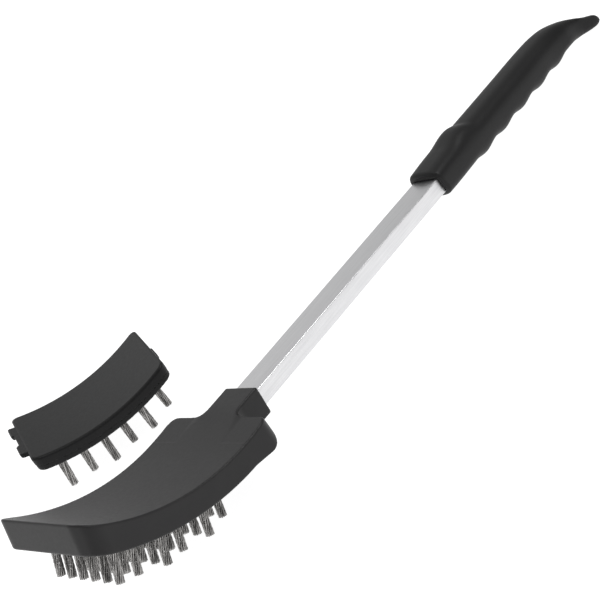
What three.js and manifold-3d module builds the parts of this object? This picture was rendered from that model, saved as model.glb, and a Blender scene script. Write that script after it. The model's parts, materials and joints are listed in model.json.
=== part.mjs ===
// Grill cleaning brush: a curved head with a push-in wire cartridge, a flat
// aluminium tube and a moulded grip, with a spare cartridge standing beside it.
// Millimetres. +Z is up, +X runs along the tube from the head to the grip.
// The brush lies on its bristles and the tip of its grip on the plane z = 0, and
// the origin is the centre of the underside of the whole model's box.
//
// Two working frames are used. The handle frame has its origin on the tube's axis
// at the mouth of the head's socket. The mould frame has its origin at the centre
// of the head's top arc, with its z axis along the direction in which the head and
// the cartridge leave their mould, which is also the way the cartridge pulls out.

import * as THREE from 'three';
import { mergeVertices } from 'three/addons/utils/BufferGeometryUtils.js';
import Module from 'manifold-3d';

const wasm = await Module();
wasm.setup();

const degrees = THREE.MathUtils.degToRad;
const gap = 0.35; // between pieces that touch on the real brush

// ---- Driving dimensions ----

const tube = { width: 20, height: 10, wall: 1.2, corner: 1.2, inHead: 32, inGrip: 52, exposed: 183.7 };

const head = {
  width: 82.6,
  radius: 137.6, // of the concave top, seen from the side
  plate: 2.5, // thickness of the top
  centreX: -39.85, // arc centre, handle frame
  centreZ: 144.08,
  rim: { x: -36.7, z: 161.2, radius: 168.1 }, // lower edge, 13 mm down, 16 mm at the front
  rimStart: -2.0, // where the rim's arc begins behind, degrees from straight down
  frontAngle: -44.1, // of the front edge, degrees from straight down
  frontCorner: 12,
  frontLean: 16, // of the front wall, degrees
  rearX: -20.2, // handle frame
  rearCorner: 7,
  rearTop: 7.3,
  rearRound: 3, // between the top and the rear wall
  heelZ: -9.1, // underside behind the cartridge
  heelReach: 12, // of the curve from the rear wall to the underside
  heelFront: { x: -37, rise: 1.3 }, // where the underside meets the rim
};

const neck = {
  length: 22.2,
  root: 8, // of its block, inside the head
  halfWidth: 13.3,
  top: 8.3,
  bottom: -8.5,
  mouthTop: 0.8, // the mouth leans, and crosses the axis near x = 0
  mouthBottom: -0.6,
  fillet: 8.5,
};

const mouldTilt = degrees(20.8);

const cartridge = {
  width: 76.6,
  halfLength: 46.5,
  top: 140.7, // radii about the head's arc centre
  coverUnderside: 143.0,
  baseTop: 146.0,
  underside: 149.8,
  corner: 5,
  wall: 2.2,
};

const recessRoom = 0.5; // all round the cartridge
const shoulderPocket = { front: 51.5, rear: 60, inner: 15, wall: 4 };
const lug = {
  halfWidth: 23.5,
  corner: 1,
  notch: 9.5,
  notchCorner: 2.6,
  web: 2.4, // left between the lugs
  reach: 4.2,
  root: 3, // into the cap's skirt
  top: 141.2,
  underside: 144.0,
};
const nub = { width: 14, corner: 0.8, reach: 1.2, root: 3 };

// Heights past the moulding on both sides, for cutting right through it: along the
// handle frame's z, and along the mould frame's z, where the recess and the cartridge
// lie between the two.
const past = 80;
const mouldLow = -200;
const mouldHigh = -90;

const bundle = {
  diameter: 4.8,
  pitch: 10.73,
  rowSpacing: 14.2,
  rows: 6,
  rootRadius: 145.0,
  fan: 0.37, // share of a full radial lean
  trimRadius: 137.5, // circle that the tips are cut to
  trimX: -4.6,
  trimZ: -31.75,
  sides: 10,
  holeGap: 0.75,
  strip: { width: 3.2, thickness: 1.1 },
};

const grip = {
  start: tube.exposed,
  end: 383.6,
  mouth: { lean: 0.11, reach: 14, top: 10.4 }, // the mouth leans, and the lean fades within `reach`
  bumps: 5,
  firstBump: 230.5,
  bumpPitch: 22.6,
  bumpHeight: 2.0,
  humpCentre: 222,
  humpReach: 13,
  humpHeight: 2.3,
  ringPoints: 20,
  lowPoint: 381, // where the curled tip comes lowest
};

const screw = {
  headDiameter: 8,
  headHeight: 2.2,
  rim: 0.3,
  shaft: 4,
  reach: 10.4,
  point: 1.5,
  slot: { width: 0.9, reach: 2.3, depth: 1.1 },
};

// Each screw's place under the tube, and the height of its head's face.
const screwPlaces = [
  { name: 'neck_screw_front', x: -16, z: neck.bottom + 0.15 },
  { name: 'neck_screw_rear', x: -5.5, z: neck.bottom + 0.15 },
  { name: 'grip_screw', x: 203, z: -8.1 },
];
const gripPlugReach = 12; // of the plug in the grip, each way from its screw

const spare = { x: -2.4, y: 138, turn: -26.5, lean: 1.8 };

// ---- Materials ----

function plastic(colour, roughness) {
  return new THREE.MeshStandardMaterial({ color: colour, roughness, metalness: 0 });
}

function metal(colour, roughness) {
  return new THREE.MeshStandardMaterial({ color: colour, roughness, metalness: 1 });
}

const headBlack = plastic(0x3a3a3c, 0.5);
const gripBlack = plastic(0x2c2c2d, 0.55);
const cartridgeBlack = plastic(0x303031, 0.5);
const plugGrey = plastic(0x55565a, 0.6);
const aluminium = metal(0xc9cacd, 0.35);
const steelWire = metal(0x9b9a97, 0.4);
const screwSteel = metal(0xb4b4b6, 0.35);

// ---- Shape helpers ----

function solid(geometry) {
  const bare = geometry.index ? geometry.toNonIndexed() : geometry.clone();
  bare.deleteAttribute('normal');
  bare.deleteAttribute('uv');
  const merged = mergeVertices(bare, 1e-4);
  return new wasm.Manifold(
    new wasm.Mesh({
      numProp: 3,
      vertProperties: new Float32Array(merged.attributes.position.array),
      triVerts: new Uint32Array(merged.index.array),
    }),
  );
}

function geometryOf(manifold) {
  const mesh = manifold.getMesh();
  const geometry = new THREE.BufferGeometry();
  geometry.setAttribute('position', new THREE.BufferAttribute(new Float32Array(mesh.vertProperties), 3));
  geometry.setIndex(new THREE.BufferAttribute(new Uint32Array(mesh.triVerts), 1));
  return geometry;
}

// A side outline, drawn with y as height, as thick as `width` about y = 0.
function slab(outline, width, curveSegments = 12) {
  const geometry = new THREE.ExtrudeGeometry(outline, { depth: width, bevelEnabled: false, curveSegments });
  return geometry.rotateX(Math.PI / 2).translate(0, width / 2, 0);
}

// A plan outline pulled up from `low` to `high`.
function prism(outline, low, high, curveSegments = 6) {
  const depth = high - low;
  const geometry = new THREE.ExtrudeGeometry(outline, { depth, bevelEnabled: false, curveSegments });
  return geometry.translate(0, 0, low);
}

function box(x0, x1, y0, y1, z0, z1) {
  const geometry = new THREE.BoxGeometry(x1 - x0, y1 - y0, z1 - z0);
  return geometry.translate((x0 + x1) / 2, (y0 + y1) / 2, (z0 + z1) / 2);
}

// A rectangle with its own corner radius at the low-x and the high-x end.
function roundedRectangle(x0, x1, y0, y1, lowCorner, highCorner = lowCorner) {
  const outline = new THREE.Shape();
  outline.moveTo(x0 + lowCorner, y0);
  outline.lineTo(x1 - highCorner, y0);
  outline.absarc(x1 - highCorner, y0 + highCorner, highCorner, -Math.PI / 2, 0, false);
  outline.absarc(x1 - highCorner, y1 - highCorner, highCorner, 0, Math.PI / 2, false);
  outline.absarc(x0 + lowCorner, y1 - lowCorner, lowCorner, Math.PI / 2, Math.PI, false);
  outline.absarc(x0 + lowCorner, y0 + lowCorner, lowCorner, Math.PI, Math.PI * 1.5, false);
  return outline;
}

// The round bar along Y that holds everything nearer the arc centre than `radius`,
// mould frame. Its facets are centred on the bristle rows, or halves of such facets.
function arcDrum(radius, fine = false) {
  return new THREE.CylinderGeometry(radius, radius, 2 * head.width, fine ? 132 : 66);
}

const mouldFrame = new THREE.Matrix4()
  .makeRotationY(mouldTilt)
  .setPosition(head.centreX, 0, head.centreZ);

// ---- Screws ----

// A countersunk screw pointing up, its head's face at z = 0.
function screwProfile(clearance) {
  const headRadius = screw.headDiameter / 2 + clearance;
  const shaftRadius = screw.shaft / 2 + clearance;
  return [
    new THREE.Vector2(0, -clearance),
    new THREE.Vector2(headRadius, -clearance),
    new THREE.Vector2(headRadius, screw.rim),
    new THREE.Vector2(shaftRadius, screw.headHeight + clearance * 0.4),
    new THREE.Vector2(shaftRadius, screw.reach - screw.point + clearance),
    new THREE.Vector2(0, screw.reach + clearance * 2),
  ];
}

function screwShape(clearance) {
  return new THREE.LatheGeometry(screwProfile(clearance), 12).rotateX(Math.PI / 2);
}

function makeScrew() {
  const { width, reach, depth } = screw.slot;
  const half = width / 2;
  return geometryOf(
    solid(screwShape(0))
      .subtract(solid(box(-reach, reach, -half, half, -1, depth)))
      .subtract(solid(box(-half, half, -reach, reach, -1, depth))),
  );
}

// Cuts the holes of the screws that stand between two places along the tube.
function withScrewHoles(body, x0, x1) {
  return screwPlaces
    .filter((place) => place.x > x0 && place.x < x1)
    .reduce((cut, { x, z }) => cut.subtract(solid(screwShape(gap).translate(x, 0, z))), body);
}

// ---- Head shell ----

// The side outline is left open above, where the arc of the top cuts it.
function headSideOutline() {
  const { rim, rearX, rearTop, rearRound, heelZ, heelReach, heelFront } = head;
  const start = degrees(head.rimStart - 90);
  const end = degrees(head.frontAngle - 90);
  const roundX = rearX - rearRound;
  const outline = new THREE.Shape();
  outline.moveTo(-150, past);
  outline.lineTo(-60, 20);
  outline.lineTo(roundX, rearTop);
  outline.absarc(roundX, rearTop - rearRound, rearRound, Math.PI / 2, 0, true);
  outline.quadraticCurveTo(rearX, heelZ, rearX - heelReach, heelZ);
  outline.lineTo(heelFront.x, heelZ + heelFront.rise);
  outline.absarc(rim.x, rim.z, rim.radius, start, end, true);
  return outline;
}

// The front corners, as a leaning upright block that reaches past the rear.
function headFrontPrism() {
  const half = head.width / 2;
  const angle = degrees(head.frontAngle);
  const plan = roundedRectangle(0, 2 * head.radius, -half, half, head.frontCorner, 1);
  return prism(plan, -past, past)
    .rotateY(degrees(head.frontLean))
    .translate(
      head.centreX + head.radius * Math.sin(angle),
      0,
      head.centreZ - head.radius * Math.cos(angle),
    );
}

function headRearPrism() {
  const half = head.width / 2;
  const plan = roundedRectangle(-2 * head.radius, head.rearX, -half, half, 1, head.rearCorner);
  return prism(plan, -past, past);
}

function neckPlan() {
  const { length, halfWidth, fillet, mouthTop } = neck;
  const root = -length - neck.root;
  const wide = halfWidth + fillet;
  const plan = new THREE.Shape();
  plan.moveTo(root, -wide);
  plan.lineTo(-length, -wide);
  plan.absarc(-length + fillet, -wide, fillet, Math.PI, Math.PI / 2, true);
  plan.lineTo(mouthTop, -halfWidth);
  plan.lineTo(mouthTop, halfWidth);
  plan.absarc(-length + fillet, wide, fillet, -Math.PI / 2, -Math.PI, true);
  plan.lineTo(root, wide);
  return plan;
}

function makeNeck() {
  const { top, bottom, mouthTop, mouthBottom } = neck;
  const side = new THREE.Shape();
  side.moveTo(-past, bottom);
  side.lineTo(mouthBottom, bottom);
  side.lineTo(mouthTop, top);
  side.lineTo(-past, top);
  return solid(prism(neckPlan(), -past, past)).intersect(solid(slab(side, head.width)));
}

// The hollow that the cartridge fills, with slots for its lugs and its nub. All of it
// is open downward, so that the cartridge draws straight out.
function cartridgeRecess() {
  const half = cartridge.width / 2 + recessRoom;
  const end = cartridge.halfLength + recessRoom;
  const plan = roundedRectangle(-end, end, -half, half, cartridge.corner + recessRoom);
  let recess = solid(prism(plan, mouldLow, mouldHigh));
  const lugHalf = lug.halfWidth + recessRoom;
  recess = recess.add(solid(box(-end - lug.reach, 0, -lugHalf, lugHalf, mouldLow, mouldHigh)));
  const nubHalf = nub.width / 2 + recessRoom;
  recess = recess.add(solid(box(0, end + nub.reach, -nubHalf, nubHalf, mouldLow, mouldHigh)));
  return recess.subtract(solid(arcDrum(head.radius + head.plate)));
}

// Two pockets under the shoulders that keep the moulding's walls even.
function shoulderPockets() {
  const { front, rear, inner, wall } = shoulderPocket;
  const outer = head.width / 2 - wall;
  return solid(box(front, rear, inner, outer, mouldLow, mouldHigh))
    .add(solid(box(front, rear, -outer, -inner, mouldLow, mouldHigh)))
    .subtract(solid(arcDrum(head.radius + head.plate)));
}

function toHandleFrame(manifold) {
  return solid(geometryOf(manifold).applyMatrix4(mouldFrame));
}

function makeHeadShell() {
  const drum = arcDrum(head.radius, true).applyMatrix4(mouldFrame);
  let shell = solid(slab(headSideOutline(), head.width, 8))
    .intersect(solid(headFrontPrism()))
    .intersect(solid(headRearPrism()))
    .add(makeNeck())
    .subtract(solid(drum))
    .subtract(toHandleFrame(cartridgeRecess()))
    .subtract(toHandleFrame(shoulderPockets()));
  const halfWidth = tube.width / 2 + gap;
  const halfHeight = tube.height / 2 + gap;
  const pocketEnd = -tube.inHead - gap;
  shell = shell.subtract(solid(box(pocketEnd, 5, -halfWidth, halfWidth, -halfHeight, halfHeight)));
  return geometryOf(withScrewHoles(shell, pocketEnd, 0));
}

// ---- Tube and its end plugs ----

function tubeSection(shrink) {
  const halfWidth = tube.width / 2 - shrink;
  const halfHeight = tube.height / 2 - shrink;
  const corner = Math.max(tube.corner - shrink, 0.4);
  return roundedRectangle(-halfWidth, halfWidth, -halfHeight, halfHeight, corner);
}

// Extrudes a cross-section drawn across Y and Z along X.
function bar(section, x0, x1) {
  const geometry = new THREE.ExtrudeGeometry(section, {
    depth: x1 - x0,
    bevelEnabled: false,
    curveSegments: 2,
  });
  geometry.rotateX(Math.PI / 2);
  geometry.rotateZ(Math.PI / 2);
  return geometry.translate(x0, 0, 0);
}

function makeTube() {
  const section = tubeSection(0);
  section.holes.push(tubeSection(tube.wall));
  const x0 = -tube.inHead;
  const x1 = tube.exposed + tube.inGrip;
  return geometryOf(withScrewHoles(solid(bar(section, x0, x1)), x0, x1));
}

function makePlug(x0, x1) {
  const section = tubeSection(tube.wall + gap);
  return geometryOf(withScrewHoles(solid(bar(section, x0, x1)), x0, x1));
}

// ---- Grip ----

// A smooth line through a few stations, each [x, value].
function smoothLine(stations) {
  const places = stations.map((station) => station[0]);
  const values = stations.map((station) => station[1]);
  const line = new THREE.CubicInterpolant(places, values, 1);
  return (x) => line.evaluate(x)[0];
}

const gripTop = smoothLine([
  [180, 9.9], [184, 10.4], [209, 12.1], [235, 12.4], [278, 12.7], [318, 12.9],
  [336, 11.2], [350, 6.9], [358, 3.0], [366, -1.4], [373, -5.0], [379, -7.7], [383.6, -11.2],
]);

const gripUnderside = smoothLine([
  [180, -8.4], [184, -8.5], [219, -8.5], [242, -8.1], [265, -7.8], [308, -7.5],
  [332, -7.3], [345, -8.2], [358, -10.9], [368, -13.4], [376, -15.1], [381, -15.4], [383.6, -14.7],
]);

const gripHalfWidth = smoothLine([
  [180, 13.8], [184, 13.8], [219, 13.9], [260, 13.6], [310, 13.5], [336, 12.6],
  [350, 10.0], [366, 6.8], [379, 4.0], [383.6, 2.4],
]);

function thumbHump(x) {
  const away = Math.abs(x - grip.humpCentre) / grip.humpReach;
  return away < 1 ? grip.humpHeight * 0.5 * (1 + Math.cos(Math.PI * away)) : 0;
}

function fingerBump(x) {
  const first = grip.firstBump - grip.bumpPitch / 2;
  const last = first + grip.bumps * grip.bumpPitch;
  if (x < first || x > last) return 0;
  return grip.bumpHeight * 0.5 * (1 - Math.cos((2 * Math.PI * (x - first)) / grip.bumpPitch));
}

function signedPower(value, power) {
  return Math.sign(value) * Math.abs(value) ** power;
}

function mouthShift(x, z) {
  const { lean, reach, top } = grip.mouth;
  return lean * (top - z) * Math.max(0, 1 - (x - grip.start) / reach);
}

// One cross-section: a rounded box, fuller at the collar than along the grip.
function gripRing(x, inset) {
  const fullness = THREE.MathUtils.lerp(3.4, 2.8, THREE.MathUtils.smoothstep(x, 190, 225));
  const top = gripTop(x) + thumbHump(x) - inset;
  const bottom = gripUnderside(x) - fingerBump(x) + inset;
  const halfWidth = gripHalfWidth(x) - inset;
  const middle = Math.max(Math.min(0, top - 2.5), bottom + 0.5);
  const ring = [];
  for (let i = 0; i < grip.ringPoints; i += 1) {
    const angle = (2 * Math.PI * (i + 0.5)) / grip.ringPoints;
    const rise = signedPower(Math.sin(angle), 2 / fullness);
    const y = halfWidth * signedPower(Math.cos(angle), 2 / fullness);
    const z = middle + rise * (rise > 0 ? top - middle : middle - bottom);
    ring.push([x + mouthShift(x, z), y, z]);
  }
  return ring;
}

// Joins rings of equal size, in order along +X, into one closed skin.
function loft(rings) {
  const size = rings[0].length;
  const points = rings.flat(2);
  const faces = [];
  for (let r = 0; r + 1 < rings.length; r += 1) {
    for (let i = 0; i < size; i += 1) {
      const a = r * size + i;
      const b = r * size + ((i + 1) % size);
      faces.push(a, b, b + size, a, b + size, a + size);
    }
  }
  for (const [ring, flip] of [[0, true], [rings.length - 1, false]]) {
    const centre = [0, 1, 2].map((k) => rings[ring].reduce((sum, p) => sum + p[k], 0) / size);
    const hub = points.length / 3;
    points.push(...centre);
    for (let i = 0; i < size; i += 1) {
      const a = ring * size + i;
      const b = ring * size + ((i + 1) % size);
      faces.push(...(flip ? [hub, b, a] : [hub, a, b]));
    }
  }
  const geometry = new THREE.BufferGeometry();
  geometry.setAttribute('position', new THREE.Float32BufferAttribute(points, 3));
  geometry.setIndex(faces);
  return geometry;
}

function makeGrip() {
  const stations = [
    [grip.start, 1.2],
    [grip.start + 0.4, 0.5],
    [grip.start + 1.4, 0],
  ];
  for (let x = 190; x < 209; x += 6) stations.push([x, 0]);
  for (let x = 209; x <= 372; x += grip.bumpPitch / 6) stations.push([x, 0]);
  for (const x of [374, 377.5, 380.5, 382.5]) stations.push([x, 0]);
  stations.push([grip.end, 0.8]);
  const rings = stations.map(([x, inset]) => gripRing(x, inset));
  const halfWidth = tube.width / 2 + gap;
  const halfHeight = tube.height / 2 + gap;
  const pocketEnd = tube.exposed + tube.inGrip + gap;
  const pocket = box(tube.exposed - 5, pocketEnd, -halfWidth, halfWidth, -halfHeight, halfHeight);
  return geometryOf(withScrewHoles(solid(loft(rings)).subtract(solid(pocket)), grip.start, grip.end));
}

// ---- Cartridge, mould frame ----

function cartridgePlan(inset) {
  const half = cartridge.width / 2 - inset;
  const end = cartridge.halfLength - inset;
  return roundedRectangle(-end, end, -half, half, Math.max(cartridge.corner - inset, 1));
}

// The part of a plan outline that lies between two radii.
function arcLayer(plan, innerRadius, outerRadius, fine = false) {
  return solid(prism(plan, mouldLow, mouldHigh, 4))
    .subtract(solid(arcDrum(innerRadius, fine)))
    .intersect(solid(arcDrum(outerRadius)));
}

// The two hook lugs in front of the cap: one plate with a notch between them.
function makeLugs() {
  const { halfWidth, corner, notch, notchCorner, web, reach, root } = lug;
  const front = -cartridge.halfLength;
  const block = roundedRectangle(front - reach, front + root, -halfWidth, halfWidth, corner);
  const cut = roundedRectangle(front - 2 * reach, front - web, -notch, notch, corner, notchCorner);
  return arcLayer(block, lug.top, lug.underside).subtract(solid(prism(cut, mouldLow, mouldHigh)));
}

// A smooth cap with a skirt that closes round the base, and the two lugs in front.
function makeCartridgeCover() {
  const hollow = arcLayer(cartridgePlan(cartridge.wall), cartridge.coverUnderside, cartridge.underside + 5);
  return geometryOf(
    arcLayer(cartridgePlan(0), cartridge.top, cartridge.baseTop - gap, true)
      .add(makeLugs())
      .subtract(hollow),
  );
}

// The tray that holds the bundles, with a nub behind.
function makeCartridgeBase() {
  const { baseTop, underside, halfLength } = cartridge;
  let body = arcLayer(cartridgePlan(0), baseTop, underside);
  const { width, corner, reach, root } = nub;
  const plan = roundedRectangle(halfLength - root, halfLength + reach, -width / 2, width / 2, corner);
  body = body.add(arcLayer(plan, baseTop, underside));
  for (const place of bundlePlaces()) {
    body = body.subtract(solid(bundleShape(place, bundle.holeGap, 6)));
  }
  return geometryOf(body);
}

// ---- Wire bundles, mould frame ----

// Where each bundle's tip and root are, row by row from the front.
function bundlePlaces() {
  const places = [];
  for (let row = 0; row < bundle.rows; row += 1) {
    const count = row % 2 === 0 ? 6 : 5;
    const x = (row - (bundle.rows - 1) / 2) * bundle.rowSpacing;
    const z = bundle.trimZ - Math.sqrt(bundle.trimRadius ** 2 - (x - bundle.trimX) ** 2);
    const lean = bundle.fan * Math.atan2(x, -z);
    const tipRadius = Math.hypot(x, z);
    const length = tipRadius - bundle.rootRadius;
    for (let i = 0; i < count; i += 1) {
      const y = (i - (count - 1) / 2) * bundle.pitch;
      places.push({ row: row + 1, number: i + 1, x, y, z, lean, length });
    }
  }
  return places;
}

function bundleShape(place, clearance, sides) {
  const radius = bundle.diameter / 2 + clearance;
  const length = place.length + clearance * 4;
  return new THREE.CylinderGeometry(radius, radius, length, sides)
    .rotateX(Math.PI / 2)
    .translate(0, 0, length / 2)
    .rotateY(-place.lean)
    .translate(place.x, place.y, place.z);
}

function rowPlaces(row) {
  return bundlePlaces().filter((place) => place.row === row);
}

// The flat strip over one row's roots, which keeps them from pulling out.
function anchorStrip(row, lift) {
  const places = rowPlaces(row);
  const { x, z, lean, length } = places[0];
  const reach = Math.abs(places[0].y) + bundle.diameter / 2;
  const strip = new THREE.BoxGeometry(bundle.strip.width, 2 * reach, bundle.strip.thickness);
  const height = length + lift + bundle.strip.thickness / 2;
  return strip.translate(0, 0, height).rotateY(-lean).translate(x, 0, z);
}

function spareRow(row) {
  let comb = solid(anchorStrip(row, -0.2));
  for (const place of rowPlaces(row)) {
    comb = comb.add(solid(bundleShape(place, 0, bundle.sides)));
  }
  return geometryOf(comb);
}

// ---- Assembly ----

function addPiece(group, name, geometry, material) {
  const mesh = new THREE.Mesh(geometry, material);
  mesh.name = name;
  group.add(mesh);
  return mesh;
}

function addHandle(group) {
  addPiece(group, 'head_shell', makeHeadShell(), headBlack);
  addPiece(group, 'handle_tube', makeTube(), aluminium);
  addPiece(group, 'tube_plug_head', makePlug(-tube.inHead, -1), plugGrey);
  const screwX = screwPlaces[2].x;
  const gripPlug = makePlug(screwX - gripPlugReach, screwX + gripPlugReach);
  addPiece(group, 'tube_plug_grip', gripPlug, plugGrey);
  addPiece(group, 'grip', makeGrip(), gripBlack);
  for (const { name, x, z } of screwPlaces) {
    addPiece(group, name, makeScrew(), screwSteel).position.set(x, 0, z);
  }
}

function addInstalledCartridge(group) {
  addPiece(group, 'cartridge_cover', makeCartridgeCover(), cartridgeBlack);
  addPiece(group, 'cartridge_base', makeCartridgeBase(), cartridgeBlack);
  for (const place of bundlePlaces()) {
    const name = `wire_bundle_row${place.row}_${place.number}`;
    addPiece(group, name, bundleShape(place, 0, bundle.sides), steelWire);
  }
  for (let row = 1; row <= bundle.rows; row += 1) {
    addPiece(group, `anchor_strip_row${row}`, geometryOf(solid(anchorStrip(row, gap))), screwSteel);
  }
}

function addSpareCartridge(group) {
  addPiece(group, 'spare_cover', makeCartridgeCover(), cartridgeBlack);
  addPiece(group, 'spare_base', makeCartridgeBase(), cartridgeBlack);
  for (let row = 1; row <= bundle.rows; row += 1) {
    addPiece(group, `spare_bundle_row${row}`, spareRow(row), steelWire);
  }
}

const brush = new THREE.Group();
addHandle(brush);
const installed = new THREE.Group();
installed.rotation.y = mouldTilt;
installed.position.set(head.centreX, 0, head.centreZ);
addInstalledCartridge(installed);
brush.add(installed);

function lowest(object) {
  object.updateMatrixWorld(true);
  return new THREE.Box3().setFromObject(object, true).min.z;
}

// The brush tips back until the tip of its grip and its rear bristles are level.
function restTilt() {
  const rear = rowPlaces(bundle.rows)[0];
  const tip = new THREE.Vector3(rear.x, 0, rear.z).applyMatrix4(mouldFrame);
  const tail = new THREE.Vector3(grip.lowPoint, 0, gripUnderside(grip.lowPoint));
  const bristleEdge = (bundle.diameter / 2) * Math.sin(mouldTilt - rear.lean);
  return Math.atan2(tail.z - tip.z + bristleEdge, tail.x - tip.x);
}

brush.rotation.y = restTilt();
brush.position.z = -lowest(brush);

const spareCartridge = new THREE.Group();
addSpareCartridge(spareCartridge);
spareCartridge.rotation.set(0, degrees(spare.lean), degrees(spare.turn), 'ZYX');
spareCartridge.position.set(spare.x, spare.y, 0);
spareCartridge.position.z = -lowest(spareCartridge);

const model = new THREE.Group();
model.add(brush, spareCartridge);
model.updateMatrixWorld(true);
const bounds = new THREE.Box3().setFromObject(model, true);
const centre = bounds.getCenter(new THREE.Vector3());
model.position.set(-centre.x, -centre.y, -bounds.min.z);

const product = new THREE.Group();
product.add(model);
product.updateMatrixWorld(true);

export default product;
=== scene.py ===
import json
import math
import random

import bpy
import numpy as np
from mathutils import Matrix, Vector


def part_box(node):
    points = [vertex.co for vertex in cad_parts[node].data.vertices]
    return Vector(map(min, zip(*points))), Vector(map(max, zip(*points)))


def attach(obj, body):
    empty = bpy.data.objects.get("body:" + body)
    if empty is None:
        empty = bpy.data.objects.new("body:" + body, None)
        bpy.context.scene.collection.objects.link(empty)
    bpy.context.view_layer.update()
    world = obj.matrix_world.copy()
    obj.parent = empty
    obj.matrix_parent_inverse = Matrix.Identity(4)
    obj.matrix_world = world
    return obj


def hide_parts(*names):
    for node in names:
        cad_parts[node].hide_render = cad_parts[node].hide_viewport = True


# Grill cleaning brush with its spare cartridge. Shapes are worked out in millimetres,
# in the frame of the handle or of a cartridge, and set into the row frame in metres.
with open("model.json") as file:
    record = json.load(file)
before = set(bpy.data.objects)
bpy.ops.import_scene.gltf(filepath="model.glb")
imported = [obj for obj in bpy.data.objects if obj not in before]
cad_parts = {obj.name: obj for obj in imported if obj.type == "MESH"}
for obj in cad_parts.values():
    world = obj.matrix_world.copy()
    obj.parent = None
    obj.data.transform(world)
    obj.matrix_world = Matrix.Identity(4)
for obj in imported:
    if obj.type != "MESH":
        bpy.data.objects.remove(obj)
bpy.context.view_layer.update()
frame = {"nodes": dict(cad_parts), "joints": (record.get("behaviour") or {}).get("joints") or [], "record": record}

MM = 0.001

# ---- Driving dimensions, millimetres ----

TUBE = {"width": 20.0, "height": 10.0, "wall": 1.2, "corner": 0.7,
        "in_head": 32.0, "in_grip": 52.0, "exposed": 183.7}
GAP = 0.35  # between the tube and the mouldings

HEAD = {
    "half_width": 41.3,
    "radius": 137.6,  # of the concave top, seen from the side
    "plate": 2.5,
    "centre": (-39.85, 144.08),
    "rim": (-36.7, 161.2),  # centre of the lower edge's arc
    "rim_radius": 168.1,
    "front_angle": math.radians(-44.1),
    "front_corner": 12.0,
    "front_lean": math.radians(16.0),
    "rim_end": -38.0,  # the rim's arc stops here, and the heel starts at heel_start
    "heel_start": -60.0,
    "heel_z": -9.1,
    "heel_reach": 9.0,
    "heel_slope": 0.18,
    "rear_x": -20.2,
    "rear_corner": 7.0,
    "rear_round": 3.0,
    "rear_top": 8.4,
    "shoulder_top": 7.0,
    "top_edge": 1.2,
    "top_blend": 0.8,  # where the arc meets the neck's level top
    "rim_edge": 0.9,
    "recess_edge": 0.6,
    "socket_edge": 0.4,
}
NECK = {"length": 22.2, "root": 8.0, "half_width": 13.3, "top": 8.3, "bottom": -8.5, "edge": 1.3,
        "mouth": 0.11, "mouth_slope": 0.0833, "mouth_edge": 0.7, "fillet": 8.5, "join": 2.5}
MOULD_TILT = math.radians(20.8)

CARTRIDGE = {
    "half_width": 38.3,
    "half_length": 46.5,
    "top": 140.7,  # radii about the head's arc centre
    "cover_inside": 143.0,
    "base_top": 146.0,
    "underside": 149.8,
    "corner": 5.0,
    "least_corner": 1.0,  # of the smaller outlines inside
    "wall": 2.2,
    "top_edge": 1.8,
    "inside_edge": 0.5,
    "underside_edge": 0.9,
    "hole_room": 0.3,  # round each bundle, and the rounded edge of its hole
    "hole_edge": 0.45,
}
# The cap's skirt just laps over the tray, and both are shaded as one wall within `band`.
SEAM = {"lap": 0.6, "inset": 0.2, "edge": 0.45, "tray_edge": 0.1, "band": 2.2}
RECESS = {"room": 0.5, "edge": 0.8, "lug_corner": 0.8, "nub_corner": 0.6}
LUG = {"half_width": 23.5, "notch": 9.5, "web": 2.4, "reach": 4.2, "corner": 1.0, "round": 2.6,
       "edge": 0.5, "top": 141.2, "underside": 144.0}
NUB = {"half_width": 7.0, "reach": 1.2, "corner": 0.8}
SHOULDER_POCKET = {"front": 51.5, "rear": 60.0, "inner": 15.0, "wall": 4.0, "corner": 1.0}
BUNDLE_RADIUS = 2.4

GRIP = {"start": 183.7, "end": 383.5, "tail": 378.0, "tail_inset": 1.2, "lip": 2.4,
        "bumps": 5, "first_bump": 230.5, "bump_pitch": 22.6, "bump_height": 2.0}
GRIP_MOUTH = {"lean": 0.11, "top": 10.4, "reach": 14.0}  # the lean fades within `reach`
THUMB_PAD = {"front": 206.0, "crest": 222.0, "rear": 233.5, "height": 2.3}
SCREW = {
    "head": 4.0,
    "head_height": 2.2,
    "head_edge": 0.25,
    "head_rim": 0.4,  # the straight part of the head's side
    "shaft": 2.0,
    "shaft_start": 0.5,
    "join": 0.3,
    "reach": 10.4,
    "end_edge": 0.8,
    "thread": 0.12,
    "pitch": 1.2,
    "cross": 2.4,
    "cross_width": 0.5,
    "cross_depth": 1.2,
    "cross_edge": 0.15,
    "draft": 0.12,
    "seat_rim": 0.5,  # the straight part of the countersink
    "seat_edge": 0.2,
}
SPARE_TURN = math.radians(-26.5)
SPARE_LEAN = math.radians(1.8)
CELL = {"head": 0.8, "cartridge": 0.9, "spare": 0.8, "screw": 0.2}  # of the nets they're made of


# ---- Working frames ----

def handle_frame():
    """Origin on the tube's axis at the mouth of the head's socket, x towards the grip."""
    pull = [j for j in frame["joints"] if j["name"] == "cartridge_pull_out"][0]["axis"]
    tilt = math.atan2(-pull[0], -pull[2]) - MOULD_TILT
    low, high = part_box("handle_tube")
    middle_x = (TUBE["exposed"] + TUBE["in_grip"] - TUBE["in_head"]) / 2
    return (Matrix.Translation((low + high) / 2) @ Matrix.Rotation(tilt, 4, "Y")
            @ Matrix.Scale(MM, 4) @ Matrix.Translation((-middle_x, 0, 0)))


def node_points(node, matrix):
    """A CAD node's vertices, seen in a working frame."""
    mesh = frame["nodes"][node].data
    points = np.empty(len(mesh.vertices) * 3)
    mesh.vertices.foreach_get("co", points)
    return moved(points.reshape(-1, 3), matrix.inverted())


def moved(points, matrix):
    m = np.array(matrix)
    return points @ m[:3, :3].T + m[:3, 3]


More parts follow.
